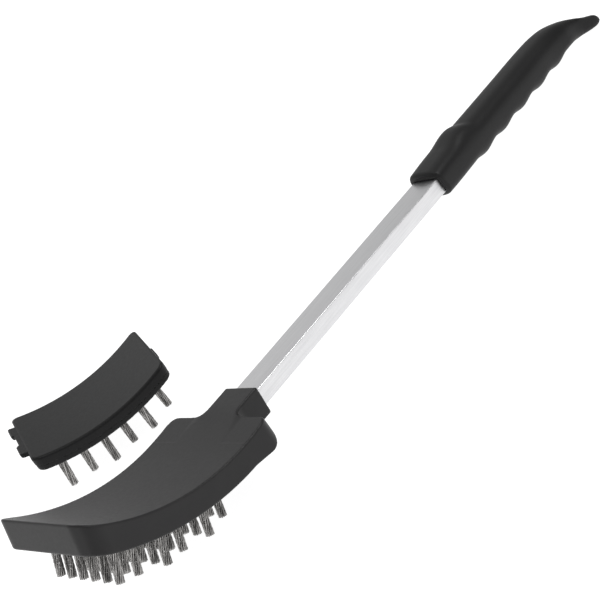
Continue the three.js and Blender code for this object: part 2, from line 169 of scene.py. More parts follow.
def spare_frame(mould):
    """The spare is the installed cartridge again, turned, and put where its tray is."""
    turned = (Matrix.Rotation(SPARE_TURN, 4, "Z") @ Matrix.Rotation(SPARE_LEAN, 4, "Y")
              @ Matrix.Scale(MM, 4))
    tray = moved(node_points("cartridge_base", mould), turned)
    low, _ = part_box("spare_base")
    return Matrix.Translation(low - Vector(tray.min(0))) @ turned


HANDLE = handle_frame()
MOULD = (HANDLE @ Matrix.Translation((HEAD["centre"][0], 0, HEAD["centre"][1]))
         @ Matrix.Rotation(MOULD_TILT, 4, "Y"))
SPARE = spare_frame(MOULD)
TO_MOULD = MOULD.inverted() @ HANDLE


# ---- Meshes ----

def add_mesh(name, points, faces, matrix, normals=None):
    """A smooth piece from points in a working frame, set into the row frame."""
    mesh = bpy.data.meshes.new(name)
    mesh.from_pydata(moved(points, matrix).tolist(), [], [list(f) for f in faces])
    mesh.polygons.foreach_set("use_smooth", [True] * len(mesh.polygons))
    if normals is not None:
        turned = normals @ np.array(matrix)[:3, :3].T
        turned /= np.linalg.norm(turned, axis=1)[:, None]
        mesh.normals_split_custom_set_from_vertices(turned.tolist())
    mesh.validate()
    mesh.update()
    piece = bpy.data.objects.new(name, mesh)
    bpy.context.scene.collection.objects.link(piece)
    return piece


def gradient(field, points, step):
    """How a field rises at some points, along x, y and z."""
    sides = []
    for axis in range(3):
        ahead, behind = points.copy(), points.copy()
        ahead[:, axis] += step
        behind[:, axis] -= step
        sides.append((field(*ahead.T) - field(*behind.T)) / (2 * step))
    return np.stack(sides, axis=1)


CORNERS = np.array([[i, j, k] for i in (0, 1) for j in (0, 1) for k in (0, 1)])
CELL_EDGES = [(a, b) for a in range(8) for b in range(a + 1, 8)
              if np.abs(CORNERS[a] - CORNERS[b]).sum() == 1]


def surface_net(values):
    """The zero surface of a grid of values: one point in each cell that it crosses, and
    a four-sided face round each grid edge that it crosses. Inside is below zero."""
    inside = values < 0
    nx, ny, nz = (n - 1 for n in values.shape)
    count = np.zeros((nx, ny, nz), np.int8)
    for i, j, k in CORNERS:
        count += inside[i:i + nx, j:j + ny, k:k + nz]
    crossed = (count > 0) & (count < 8)
    number = np.full(crossed.shape, -1, np.int64)
    number[crossed] = np.arange(crossed.sum())
    cells = np.argwhere(crossed)
    corner_values = [values[tuple((cells + c).T)] for c in CORNERS]
    total = np.zeros((len(cells), 3))
    hits = np.zeros(len(cells))
    for a, b in CELL_EDGES:
        va, vb = corner_values[a], corner_values[b]
        hit = (va < 0) != (vb < 0)
        share = np.where(hit, va / np.where(hit, va - vb, 1), 0)
        total += hit[:, None] * (CORNERS[a] + share[:, None] * (CORNERS[b] - CORNERS[a]))
        hits += hit
    points = cells + total / hits[:, None]
    faces = []
    for axis in range(3):
        u, v = (axis + 1) % 3, (axis + 2) % 3
        here = [slice(1, -1)] * 3
        here[axis] = slice(0, -1)
        there = list(here)
        there[axis] = slice(1, None)
        first, second = inside[tuple(here)], inside[tuple(there)]
        at = np.argwhere(first != second)
        outward = first[tuple(at.T)]
        corners = []
        for du, dv in ((0, 0), (1, 0), (1, 1), (0, 1)):
            cell = at.copy()
            cell[:, u] += du
            cell[:, v] += dv
            corners.append(number[tuple(cell.T)])
        quads = np.stack(corners, axis=1)
        quads[~outward] = quads[~outward][:, ::-1]
        faces.append(quads)
    return points, np.concatenate(faces)


FINE_STEP = 0.02  # for the place of a surface
SHADE_STEP = 0.08  # for its normals, which it evens out
ON_WALL = 0.06
PULLS = 3
LEAST_SLOPE = 0.25  # squared, and only there to keep a pull short where a field is flat
WALL_END_SLOPE = 2  # squared: a wall's stretch ends in a step, so nothing there is on it


def skin(name, field, low, high, cell, matrix, wall=None):
    """A moulded piece from a distance field: the net, pulled onto the exact surface. Where
    a wall is given, its points are shaded as if it ran on past its edges."""
    low, high = np.array(low, float), np.array(high, float)
    sizes = [int(math.ceil(n / cell)) + 3 for n in high - low]
    axes = [low[i] - cell + cell * np.arange(sizes[i]) for i in range(3)]
    grid = np.meshgrid(*axes, indexing="ij")
    points, faces = surface_net(field(*grid))
    points = points * cell + low - cell
    limit = 0.4 * cell
    for _ in range(PULLS):
        slope = gradient(field, points, FINE_STEP)
        push = field(*points.T) / np.maximum((slope ** 2).sum(1), LEAST_SLOPE)
        points -= np.clip(push, -limit, limit)[:, None] * slope
    normals = gradient(field, points, SHADE_STEP)
    if wall is not None:
        slope = gradient(wall, points, FINE_STEP)
        inner = (slope ** 2).sum(1) < WALL_END_SLOPE
        on_wall = inner & (np.abs(wall(*points.T)) < ON_WALL)
        normals[on_wall] = slope[on_wall]
    return add_mesh(name, points, faces, matrix, normals)


# ---- Field helpers: distances in millimetres, below zero inside ----

SLANT = 0.7  # turns the sum of two distances into the distance from their slant


def both(a, b, edge):
    """What is inside both, its edge rounded."""
    return (np.minimum(-edge, np.maximum(a, b))
            + np.hypot(np.maximum(edge + a, 0), np.maximum(edge + b, 0)))


def either(a, b, fillet):
    """What is inside either, its inner corner filleted."""
    return (np.maximum(fillet, np.minimum(a, b))
            - np.hypot(np.maximum(fillet - a, 0), np.maximum(fillet - b, 0)))


def soft_both(a, b, blend):
    """What is inside both, for faces that meet at a shallow angle."""
    return np.maximum(a, b) + np.maximum(blend - np.abs(a - b), 0) ** 2 / (4 * blend)


def rounded(a, b, corner):
    """A corner of a plan between two walls, as a true arc."""
    qa, qb = a + corner, b + corner
    return np.minimum(np.maximum(qa, qb), 0) + np.hypot(np.maximum(qa, 0), np.maximum(qb, 0)) - corner


def plan_block(x, y, half_x, half_y, corner):
    """A rectangle in plan, its corners rounded."""
    return rounded(np.abs(x) - half_x, np.abs(y) - half_y, corner)


def arc_radius(x, z):
    """How far a point is from the axis of the head's concave top."""
    return np.hypot(x - HEAD["centre"][0], z - HEAD["centre"][1])


# ---- Head shell ----

def head_side(x, z):
    """The head's side view without its top: the arc of the rim, and the heel behind it."""
    rim_x, rim_z = HEAD["rim"]
    band = np.maximum(np.hypot(x - rim_x, z - rim_z) - HEAD["rim_radius"], x - HEAD["rim_end"])
    reach = HEAD["rear_x"] - HEAD["heel_reach"]
    under = HEAD["heel_z"] + HEAD["heel_slope"] * np.maximum(reach - x, 0) - z
    under = under * 0.98  # a slope's field runs a little faster than its distance
    heel = both(x - HEAD["rear_x"], z - HEAD["rear_top"], HEAD["rear_round"])
    heel = both(heel, under, HEAD["heel_reach"])
    return np.minimum(band, np.maximum(heel, HEAD["heel_start"] - x))


def head_plan(x, y, z):
    """The head from above: rounded corners, and a front face that leans."""
    angle, radius = HEAD["front_angle"], HEAD["radius"]
    front_x = HEAD["centre"][0] + radius * math.sin(angle)
    front_z = HEAD["centre"][1] - radius * math.cos(angle)
    lean = HEAD["front_lean"]
    forward = (z - front_z) * math.sin(lean) - (x - front_x) * math.cos(lean)
    side = np.abs(y) - HEAD["half_width"]
    front = rounded(forward, side, HEAD["front_corner"])
    rear = rounded(x - HEAD["rear_x"], side, HEAD["rear_corner"])
    return np.maximum(front, rear)


def neck_plan(x, y):
    """The neck's sides, which sweep out into the shoulders."""
    fillet = NECK["fillet"]
    dx = np.minimum(x + NECK["length"] - fillet, 0)
    dy = np.minimum(np.abs(y) - NECK["half_width"] - fillet, 0)
    return fillet - np.hypot(dx, dy)


def recess(x, y, z):
    """The hollow for the cartridge, mould frame, with the slots for its lugs and nub."""
    room = RECESS["room"]
    half_width = CARTRIDGE["half_width"] + room
    end = CARTRIDGE["half_length"] + room
    plan = plan_block(x, y, end, half_width, CARTRIDGE["corner"] + room)
    lugs = plan_block(x + end, y, LUG["reach"], LUG["half_width"] + room, RECESS["lug_corner"])
    nub = plan_block(x - end, y, NUB["reach"], NUB["half_width"] + room, RECESS["nub_corner"])
    plan = np.minimum(plan, np.minimum(lugs, nub))
    pocket = SHOULDER_POCKET
    outer = HEAD["half_width"] - pocket["wall"]
    shoulder = plan_block(
        x - (pocket["front"] + pocket["rear"]) / 2, np.abs(y) - (pocket["inner"] + outer) / 2,
        (pocket["rear"] - pocket["front"]) / 2, (outer - pocket["inner"]) / 2, pocket["corner"])
    plan = np.minimum(plan, shoulder)
    return both(plan, HEAD["radius"] + HEAD["plate"] - np.hypot(x, z), RECESS["edge"])


def screw_seat(x, y, z, place):
    """The room for a screw that goes up: its bore, and a countersink of 45 degrees."""
    reach = np.hypot(x - place[0], y)
    up = z - place[1]
    rim = SCREW["seat_rim"]
    bore = np.maximum(reach - SCREW["shaft"] - GAP, up - SCREW["reach"] - 1)
    face = np.maximum(reach - SCREW["head"] - GAP, up - rim)
    cone = (reach - SCREW["head"] - GAP + (up - rim)) * SLANT
    cone = np.maximum(cone, up - SCREW["head_height"])
    return np.minimum(bore, np.minimum(face, cone))


def head_field(x, y, z):
    """The head's moulding, in the handle's frame."""
    body = both(head_side(x, z), head_plan(x, y, z), HEAD["rim_edge"])
    neck = both(neck_plan(x, y), NECK["bottom"] - z, NECK["edge"])
    neck = np.maximum(neck, np.maximum(-NECK["length"] - NECK["root"] - x,
                                       np.abs(y) - NECK["half_width"] - NECK["fillet"]))
    mouth = x - NECK["mouth"] - NECK["mouth_slope"] * z
    shell = either(body, both(neck, mouth, NECK["mouth_edge"]), NECK["join"])
    shell = np.maximum(shell, mouth)
    arc = HEAD["radius"] - arc_radius(x, z)
    fall_width = NECK["fillet"] - 0.5
    aside = np.clip((np.abs(y) - NECK["half_width"]) / fall_width, 0, 1)
    fall = NECK["top"] - HEAD["shoulder_top"]
    plateau = NECK["top"] - fall * aside * aside * (3 - 2 * aside)
    top = np.where(x > HEAD["centre"][0], soft_both(arc, z - plateau, HEAD["top_blend"]), arc)
    shell = both(shell, top, HEAD["top_edge"])
    m = np.array(TO_MOULD)
    hollow = recess(m[0, 0] * x + m[0, 2] * z + m[0, 3], y, m[2, 0] * x + m[2, 2] * z + m[2, 3])
    shell = both(shell, -hollow, HEAD["recess_edge"])
    socket = np.maximum(np.abs(y) - TUBE["width"] / 2 - GAP, np.abs(z) - TUBE["height"] / 2 - GAP)
    socket = np.maximum(socket, -TUBE["in_head"] - GAP - x)
    shell = both(shell, -socket, HEAD["socket_edge"])
    for place in NECK_SCREWS:
        shell = both(shell, -screw_seat(x, y, z, place), SCREW["seat_edge"])
    return shell


def screw_place(node):
    """Where a screw stands: along the tube, and the height of its head's face."""
    points = node_points(node, HANDLE)
    return (points[:, 0].min() + points[:, 0].max()) / 2, points[:, 2].min()


NECK_SCREWS = [screw_place("neck_screw_front"), screw_place("neck_screw_rear")]
GRIP_SCREW = screw_place("grip_screw")


def make_head_shell():
    points = node_points("head_shell", HANDLE)
    low, high = points.min(0), points.max(0)
    piece = skin("head_shell_moulding", head_field, low, high, CELL["head"], HANDLE)
    finish_piece(piece, "brush", "head_plastic", "head_shell")


# ---- Cartridge mouldings ----

def cartridge_plan(x, y, inset):
    """The cartridge from above, or a smaller outline inside it."""
    return plan_block(x, y, CARTRIDGE["half_length"] - inset, CARTRIDGE["half_width"] - inset,
                      max(CARTRIDGE["corner"] - inset, CARTRIDGE["least_corner"]))


def seam_wall(x, y, z):
    """The outer wall of the cap and the tray, either side of the seam between them."""
    beyond = np.abs(np.hypot(x, z) - CARTRIDGE["base_top"]) - SEAM["band"]
    far = 9.0
    return np.where(beyond < 0, cartridge_plan(x, y, 0), far)


LOWER_HALF = -60.0  # an arc's radius also fits the far side of its axis, above this height


def cover_field(x, y, z):
    """The cap with its two lugs, in the cartridge's frame."""
    radius = np.hypot(x, z)
    body = both(cartridge_plan(x, y, 0), CARTRIDGE["top"] - radius, CARTRIDGE["top_edge"])
    body = both(body, radius - CARTRIDGE["base_top"] - SEAM["lap"], SEAM["edge"])
    from_end = x + CARTRIDGE["half_length"]
    lugs = plan_block(from_end, y, LUG["reach"], LUG["half_width"], LUG["corner"])
    half_notch = 8.0  # past the lugs' ends, so that the notch is open there
    notch = plan_block(from_end + LUG["web"] + half_notch, y, half_notch, LUG["notch"], LUG["round"])
    lugs = both(lugs, -notch, LUG["edge"])
    lugs = both(lugs, np.maximum(LUG["top"] - radius, radius - LUG["underside"]), LUG["edge"])
    body = np.minimum(body, lugs)
    inside = np.maximum(cartridge_plan(x, y, CARTRIDGE["wall"]), CARTRIDGE["cover_inside"] - radius)
    return np.maximum(both(body, -inside, CARTRIDGE["inside_edge"]), z - LOWER_HALF)


def base_field(holes):
    """The tray with its nub, bored for the bundles, in the cartridge's frame."""
    def field(x, y, z):
        radius = np.hypot(x, z)
        from_end = x - CARTRIDGE["half_length"]
        nub = plan_block(from_end, y, NUB["reach"], NUB["half_width"], NUB["corner"])
        plan = np.minimum(cartridge_plan(x, y, SEAM["inset"]), nub)
        body = both(plan, CARTRIDGE["base_top"] - radius, SEAM["tray_edge"])
        body = both(body, radius - CARTRIDGE["underside"], CARTRIDGE["underside_edge"])
        for tip, root in holes:
            along = (root - tip) / np.linalg.norm(root - tip)
            px, py, pz = x - tip[0], y - tip[1], z - tip[2]
            run = px * along[0] + pz * along[2]
            reach = np.sqrt(np.maximum(px ** 2 + py ** 2 + pz ** 2 - run ** 2, 0))
            hole = BUNDLE_RADIUS + CARTRIDGE["hole_room"] - reach
            body = both(body, hole, CARTRIDGE["hole_edge"])
        return np.maximum(body, z - LOWER_HALF)
    return field


def make_cartridge_mouldings(which, matrix, body, holes):
    """The cap and the tray of one cartridge; both cartridges have the same shape."""
    for node, part, field in (("cover", "cap", cover_field), ("base", "tray", base_field(holes))):
        points = node_points("cartridge_" + node, MOULD)
        low, high = points.min(0), points.max(0)
        piece = skin(f"{which}_{part}", field, low, high, CELL[which], matrix, seam_wall)
        finish_piece(piece, body, "cartridge_plastic", f"{which}_{node}")


# ---- Wire bundles ----

ROPE = {
    "strands": 12,
    "wires": 3,  # in a strand
    "swell": 1.12,  # wires press into one another a little
    "lay": 55.0,  # one turn of the strands about the rope
    "wire_lay": 10.0,  # one turn of the wires about their strand
    "core_strands": 5,
    "core_step": 1.9,  # strand radii from the outer strands in to the core's
    "core_length": 3.5,
    "strand_cut": 0.25,  # how unevenly the strands are cut, and the wires in a strand
    "wire_cut": 0.2,
    "strand_tone": (0.4, 0.6),
    "wire_tone": (-0.25, 0.25),
    "in_tray": 3.0,
    "step": 0.8,
    "sides": 5,
}
FIRST_SEED = {"cartridge": 100, "spare": 500}


def bundle_ends():
    """Each installed bundle's name, tip and root, in the cartridge's frame."""
    ends = {}
    for node in sorted(frame["nodes"]):
        if node.startswith("wire_bundle_row"):
            points = node_points(node, MOULD)
            low = points[:, 2] < points[:, 2].mean()
            ends[node] = (points[low].mean(0), points[~low].mean(0))
    return ends


CUT_END = 0.75  # a cut wire's end, of its radius


def wire_tube(centres, radius, sides):
    """A thin round wire through its centres, which climb along z, closed at the tip."""
    turn = 2 * math.pi * np.arange(sides) / sides
    ring = np.stack([np.cos(turn), np.sin(turn), np.zeros(sides)], axis=1) * radius
    points = (centres[:, None, :] + ring[None, :, :]).reshape(-1, 3)
    points[:sides, :2] = centres[0, :2] + (points[:sides, :2] - centres[0, :2]) * CUT_END
    faces = [list(range(sides))[::-1]]
    for r in range(len(centres) - 1):
        for s in range(sides):
            a, b = r * sides + s, r * sides + (s + 1) % sides
            faces.append([a, b, b + sides, a + sides])
    last = (len(centres) - 1) * sides
    faces.append([last + s for s in range(sides)])
    return points, faces


def rope_mesh(length, seed):
    """A twisted wire rope with its cut end near z = 0: outer strands of three wires, and
    a core of the same strands, which stays hidden and is only made near the end."""
    draw = random.Random(seed)
    count, wires = ROPE["strands"], ROPE["wires"]
    half_turn = math.sin(math.pi / count)
    strand_turn = BUNDLE_RADIUS / (1 + half_turn)
    strand_radius = BUNDLE_RADIUS - strand_turn
    wire_radius = strand_radius / (1 + 1 / math.sin(math.pi / wires)) * ROPE["swell"]
    inner_turn, core = strand_turn - ROPE["core_step"] * strand_radius, ROPE["core_length"]
    layers = [(strand_turn, count, length), (inner_turn, ROPE["core_strands"], core), (0, 1, core)]
    all_points, all_faces, tones = [], [], []
    start = draw.uniform(0, 2 * math.pi)
    for out, strands, reach in layers:
        for strand in range(strands):
            phase = start + 2 * math.pi * strand / strands
            tone = draw.uniform(*ROPE["strand_tone"])
            cut = draw.uniform(0, ROPE["strand_cut"])
            for wire in range(wires):
                first = cut + draw.uniform(0, ROPE["wire_cut"])
                z = np.arange(first, reach + ROPE["step"], ROPE["step"])
                swing = phase + 2 * math.pi * z / ROPE["lay"]
                spin = phase + 2 * math.pi * (wire / wires - z / ROPE["wire_lay"])
                own = strand_radius - wire_radius
                centres = np.stack([out * np.cos(swing) + own * np.cos(spin),
                                    out * np.sin(swing) + own * np.sin(spin), z], axis=1)
                points, faces = wire_tube(centres, wire_radius, ROPE["sides"])
                offset = sum(len(p) for p in all_points)
                all_points.append(points)
                all_faces += [[v + offset for v in face] for face in faces]
                shade = tone + draw.uniform(*ROPE["wire_tone"])
                tones += [shade] * len(points)
    return np.concatenate(all_points), all_faces, tones


def axis_turn(tip, root):
    """The turn that takes z to a bundle's axis, and 0 to its tip."""
    along = Vector(root - tip).normalized()
    turn = Vector((0, 0, 1)).rotation_difference(along).to_matrix().to_4x4()
    return Matrix.Translation(Vector(tip)) @ turn


def make_ropes(name, ends, matrix, seed):
    """One piece from one or more bundles."""
    all_points, all_faces, all_tones = [], [], []
    for number, (tip, root) in enumerate(ends):
        exposed = np.hypot(tip[0], tip[2]) - CARTRIDGE["underside"]
        points, faces, tones = rope_mesh(exposed + ROPE["in_tray"], seed + number)
        offset = sum(len(p) for p in all_points)
        all_points.append(moved(points, axis_turn(tip, root)))
        all_faces += [[v + offset for v in face] for face in faces]
        all_tones += tones
    piece = add_mesh(name, np.concatenate(all_points), all_faces, matrix)
    tone = piece.data.attributes.new("tone", "FLOAT", "POINT")
    tone.data.foreach_set("value", all_tones)
    return piece


def make_bundles(ends):
    """A piece for each installed bundle, and one for each of the spare's rows."""
    for number, (node, pair) in enumerate(sorted(ends.items())):
        seed = FIRST_SEED["cartridge"] + number
        piece = make_ropes(node.replace("bundle", "rope"), [pair], MOULD, seed)
        finish_piece(piece, "cartridge", "bristle_steel", node)
    rows = sorted({node[len("wire_bundle_row")] for node in ends})
    for row in rows:
        pairs = [ends[node] for node in sorted(ends) if node.startswith("wire_bundle_row" + row)]
        seed = FIRST_SEED["spare"] + 10 * int(row)
        piece = make_ropes("spare_rope_row" + row, pairs, SPARE, seed)
        finish_piece(piece, "spare_cartridge", "bristle_steel", "spare_bundle_row" + row)


# ---- Tube ----

def tube_ring(shrink):
    """The tube's section as points across y and z, its corners as arcs."""
    half_y = TUBE["width"] / 2 - shrink
    half_z = TUBE["height"] / 2 - shrink
    corner = max(TUBE["corner"] - shrink, 0.3)
    ring = []
    for quarter, (sy, sz) in enumerate([(1, 1), (-1, 1), (-1, -1), (1, -1)]):
        for step in range(9):
            turn = math.pi / 2 * (quarter + step / 8)
            ring.append((sy * (half_y - corner) + corner * math.cos(turn),
                         sz * (half_z - corner) + corner * math.sin(turn)))
    return ring


def stack_rings(rings, closed):
    """Joins rings of equal size, given as lists of points, into a skin."""
    size = len(rings[0])
    faces = []
    count = len(rings) if closed else len(rings) - 1
    for r in range(count):
        for s in range(size):
            a, b = r * size + s, r * size + (s + 1) % size
            c, d = (b + size) % (size * len(rings)), (a + size) % (size * len(rings))
            faces.append([a, b, c, d])
    return np.array([p for ring in rings for p in ring], float), faces


def make_tube():
    x0, x1 = -TUBE["in_head"], TUBE["exposed"] + TUBE["in_grip"]
    ease = 0.25
    stations = [(x0, ease), (x0 + ease, 0)]
    stations += [(x, 0) for x in np.linspace(x0 + 8, x1 - 8, 28)]
    stations += [(x1 - ease, 0), (x1, ease), (x1, TUBE["wall"] - ease), (x1 - ease, TUBE["wall"])]
    stations += [(x0 + ease, TUBE["wall"]), (x0, TUBE["wall"] - ease)]
    rings = [[(x, y, z) for y, z in tube_ring(shrink)] for x, shrink in stations]
    points, faces = stack_rings(rings, closed=True)
    piece = add_mesh("satin_tube", points, faces, HANDLE)
    finish_piece(piece, "brush", "tube_aluminium", "handle_tube")


# ---- Grip ----

def smooth_line(stations):
    """A smooth line through a few stations, each (x, value)."""
    xs = np.array([s[0] for s in stations], float)
    ys = np.array([s[1] for s in stations], float)
    slopes = np.empty_like(ys)
    slopes[1:-1] = (ys[2:] - ys[:-2]) / (xs[2:] - xs[:-2])
    slopes[0] = (ys[1] - ys[0]) / (xs[1] - xs[0])
    slopes[-1] = (ys[-1] - ys[-2]) / (xs[-1] - xs[-2])

    def value(x):
        i = int(np.clip(np.searchsorted(xs, x) - 1, 0, len(xs) - 2))
        width = xs[i + 1] - xs[i]
        t = (x - xs[i]) / width
        return (ys[i] * (1 + 2 * t) * (1 - t) ** 2 + ys[i + 1] * t * t * (3 - 2 * t)
                + width * (slopes[i] * t * (1 - t) ** 2 - slopes[i + 1] * t * t * (1 - t)))
    return value


grip_top = smooth_line([
    (180, 9.9), (184, 10.4), (209, 12.1), (235, 12.4), (278, 12.7), (318, 12.9),
    (336, 11.2), (350, 6.9), (358, 3.0), (366, -1.4), (373, -5.0), (379, -7.7), (383.6, -11.2)])
grip_underside = smooth_line([
    (180, -8.4), (184, -8.5), (219, -8.5), (242, -8.1), (265, -7.8), (308, -7.5),
    (332, -7.3), (345, -8.2), (358, -10.9), (368, -13.4), (376, -15.1), (381, -15.4),
    (383.6, -14.7)])
grip_half_width = smooth_line([
    (180, 13.8), (184, 13.8), (219, 13.9), (260, 13.6), (310, 13.5), (336, 12.6),
    (350, 10.0), (366, 6.8), (379, 4.0), (383.6, 2.4)])


def finger_bump(x):
    """How far a finger bump stands out of the underside."""
    pitch = GRIP["bump_pitch"]
    first = GRIP["first_bump"] - pitch / 2
    if not first < x < first + GRIP["bumps"] * pitch:
        return 0
    return GRIP["bump_height"] * 0.5 * (1 - math.cos(2 * math.pi * (x - first) / pitch))


def thumb_pad(x):
    """The pad's height along the grip: a long rise, and a short step down behind."""
    front, crest, rear = THUMB_PAD["front"], THUMB_PAD["crest"], THUMB_PAD["rear"]
    if x <= front or x >= rear:
        return 0
    if x < crest:
        t = (x - front) / (crest - front)
        return THUMB_PAD["height"] * (0.5 - 0.5 * math.cos(math.pi * t))
    t = (x - crest) / (rear - crest)
    return THUMB_PAD["height"] * (0.5 + 0.5 * math.cos(math.pi * t ** 1.3))


def mouth_shift(x, z):
    """The grip's mouth leans; the lean fades along the collar."""
    share = max(0, 1 - (x - GRIP["start"]) / GRIP_MOUTH["reach"])
    return GRIP_MOUTH["lean"] * (GRIP_MOUTH["top"] - z) * share


RING_POINTS = 96
# The section's power, which falls between two places, and then the socket's two.
SECTION = {"power": 3.4, "fall": 0.6, "fall_start": 190.0, "fall_end": 225.0}
SOCKET_POWER = (0.12, 0.3)


def grip_ring(x, inset):
    """One cross-section: a rounded box, fuller at the collar than along the grip."""
    start, end = SECTION["fall_start"], SECTION["fall_end"]
    ease = min(max((x - start) / (end - start), 0), 1)
    power = 2 / (SECTION["power"] - SECTION["fall"] * ease * ease * (3 - 2 * ease))
    top = grip_top(x) - inset
    bottom = grip_underside(x) - finger_bump(x) + inset
    half = grip_half_width(x) - inset
    middle = max(min(0, top - 2.5), bottom + 0.5)
    ring = []
    for i in range(RING_POINTS):
        turn = 2 * math.pi * (i + 0.5) / RING_POINTS
        side, rise = math.cos(turn), math.sin(turn)
        y = half * math.copysign(abs(side) ** power, side)
        up = math.copysign(abs(rise) ** power, rise)
        z = middle + up * (top - middle if up > 0 else middle - bottom)
        if up > 0:
            across = min(abs(y) / half, 1)
            z += thumb_pad(x) * up * (1 - across ** 6)
        ring.append((x + mouth_shift(x, z), y, z))
    return ring


def pocket_ring(x, widen):
    """The socket's wall, with one point for each of the outer section's."""
    half_y = TUBE["width"] / 2 + GAP + widen
    half_z = TUBE["height"] / 2 + GAP + widen
    ring = []
    for i in range(RING_POINTS):
        turn = 2 * math.pi * (i + 0.5) / RING_POINTS
        side, rise = math.cos(turn), math.sin(turn)
        y = half_y * math.copysign(abs(side) ** SOCKET_POWER[0], side)
        z = half_z * math.copysign(abs(rise) ** SOCKET_POWER[1], rise)
        ring.append((x + mouth_shift(x, z), y, z))
    return ring


def make_grip():
    """One skin, from the end of the socket, over the mouth's lip and along to the tail."""
    start, lip, tail = GRIP["start"], GRIP["lip"], GRIP["tail"]
    rings = [pocket_ring(start + depth, widen)
             for depth, widen in ((40, 0), (6, 0), (1.2, 0), (0.4, 0.1), (0.1, 0.5))]
    for step in range(6, -1, -1):
        turn = math.pi / 2 * step / 6
        rings.append(grip_ring(start + lip * (1 - math.sin(turn)), lip * (1 - math.cos(turn))))
    for x in np.linspace(start + lip + 0.7, tail, 190):
        rings.append(grip_ring(x, 0))
    for step in range(1, 9):
        turn = math.pi / 2 * step / 8
        x = tail + (GRIP["end"] - tail) * math.sin(turn)
        rings.append(grip_ring(x, GRIP["tail_inset"] * (1 - math.cos(turn))))
    points, faces = stack_rings(rings, closed=False)
    size = len(rings[0])
    faces.append(list(range(size))[::-1])
    faces.append([len(points) - size + s for s in range(size)])
    piece = add_mesh("contoured_grip", points, faces, HANDLE)
    finish_piece(piece, "brush", "grip_plastic", "grip")


# ---- Screws ----

def screw_field(x, y, z):
    """A countersunk cross-head screw that points up, its face at z = 0."""
    reach = np.hypot(x, y)
    head = both(reach - SCREW["head"], -z, SCREW["head_edge"])
    head = np.maximum(head, (reach - SCREW["head"] - SCREW["head_rim"] + z) * SLANT)
    shaft = both(reach - SCREW["shaft"], z - SCREW["reach"], SCREW["end_edge"])
    thread = SCREW["thread"] * np.cos(2 * math.pi * z / SCREW["pitch"] + np.arctan2(y, x))
    thread = thread * (z > SCREW["head_height"])
    shaft = np.maximum(shaft + thread, SCREW["shaft_start"] - z)
    body = either(head, shaft, SCREW["join"])
    taper = SCREW["draft"] * z
    width, length = SCREW["cross_width"] - taper, SCREW["cross"] - 2 * taper
    slot_a = np.maximum(np.abs(y) - width, np.abs(x) - length)
    slot_b = np.maximum(np.abs(x) - width, np.abs(y) - length)
    cross = np.maximum(np.minimum(slot_a, slot_b), z - SCREW["cross_depth"])
    return both(body, -cross, SCREW["cross_edge"])


def make_screws():
    for node, place in [("neck_screw_front", NECK_SCREWS[0]), ("neck_screw_rear", NECK_SCREWS[1]),
                        ("grip_screw", GRIP_SCREW)]:
        matrix = HANDLE @ Matrix.Translation((place[0], 0, place[1]))
        side = SCREW["head"]
        low, high = (-side, -side, 0), (side, side, SCREW["reach"])
        piece = skin(node + "_detail", screw_field, low, high, CELL["screw"], matrix)
        finish_piece(piece, "brush", "fastener_steel", node)


# ---- Materials ----

def new_material(name):
    material = bpy.data.materials.new(name)
    material.use_nodes = True
    tree = material.node_tree
    return material, tree, tree.nodes["Principled BSDF"]


def noise(tree, scale, detail, stretch=(1, 1, 1)):
    """Noise over the piece itself, in metres; scale is features per metre."""
    where = tree.nodes.new("ShaderNodeTexCoord")
    size = tree.nodes.new("ShaderNodeMapping")
    size.inputs["Scale"].default_value = stretch
    texture = tree.nodes.new("ShaderNodeTexNoise")
    texture.inputs["Scale"].default_value = scale
    texture.inputs["Detail"].default_value = detail
    tree.links.new(where.outputs["Object"], size.inputs["Vector"])
    tree.links.new(size.outputs["Vector"], texture.inputs["Vector"])
    return texture.outputs["Fac"]


MIDDLE = (0.3, 0.7)  # where most of a noise's values are


def spread(tree, value, low, high, socket, start=MIDDLE[0], stop=MIDDLE[1]):
    """Takes a value's range, for a noise its middle, to a range of the socket's."""
    node = tree.nodes.new("ShaderNodeMapRange")
    node.inputs["From Min"].default_value = start
    node.inputs["From Max"].default_value = stop
    node.inputs["To Min"].default_value = low
    node.inputs["To Max"].default_value = high
    tree.links.new(value, node.inputs["Value"])
    tree.links.new(node.outputs["Result"], socket)


def tint(tree, value, dark, light, socket):
    """A colour between two, by a noise or a tone from 0 to 1."""
    ramp = tree.nodes.new("ShaderNodeValToRGB")
    for element, place, colour in zip(ramp.color_ramp.elements, MIDDLE, (dark, light)):
        element.position = place
        element.color = (*colour, 1)
    tree.links.new(value, ramp.inputs["Fac"])
    tree.links.new(ramp.outputs["Color"], socket)


def bump(tree, shader, relief, height):
    """Relief from a noise, its height in metres."""
    node = tree.nodes.new("ShaderNodeBump")
    node.inputs["Distance"].default_value = height
    tree.links.new(relief, node.inputs["Height"])
    tree.links.new(node.outputs["Normal"], shader.inputs["Normal"])


def moulded_plastic(name, colour, roughness, shine, grain, grain_height):
    """A dark satin plastic; grain is features per metre, and its height is in metres."""
    material, tree, shader = new_material(name)
    dark = tuple(c * 0.93 for c in colour)
    light = tuple(c * 1.07 for c in colour)
    tint(tree, noise(tree, 60, 4), dark, light, shader.inputs["Base Color"])
    spread(tree, noise(tree, 500, 3), roughness - 0.02, roughness + 0.02, shader.inputs["Roughness"])
    bump(tree, shader, noise(tree, grain, 2), grain_height)
    shader.inputs["Specular IOR Level"].default_value = shine
    return material, tree, shader


def plain_moulding(name, **look):
    return moulded_plastic(name, **look)[0]


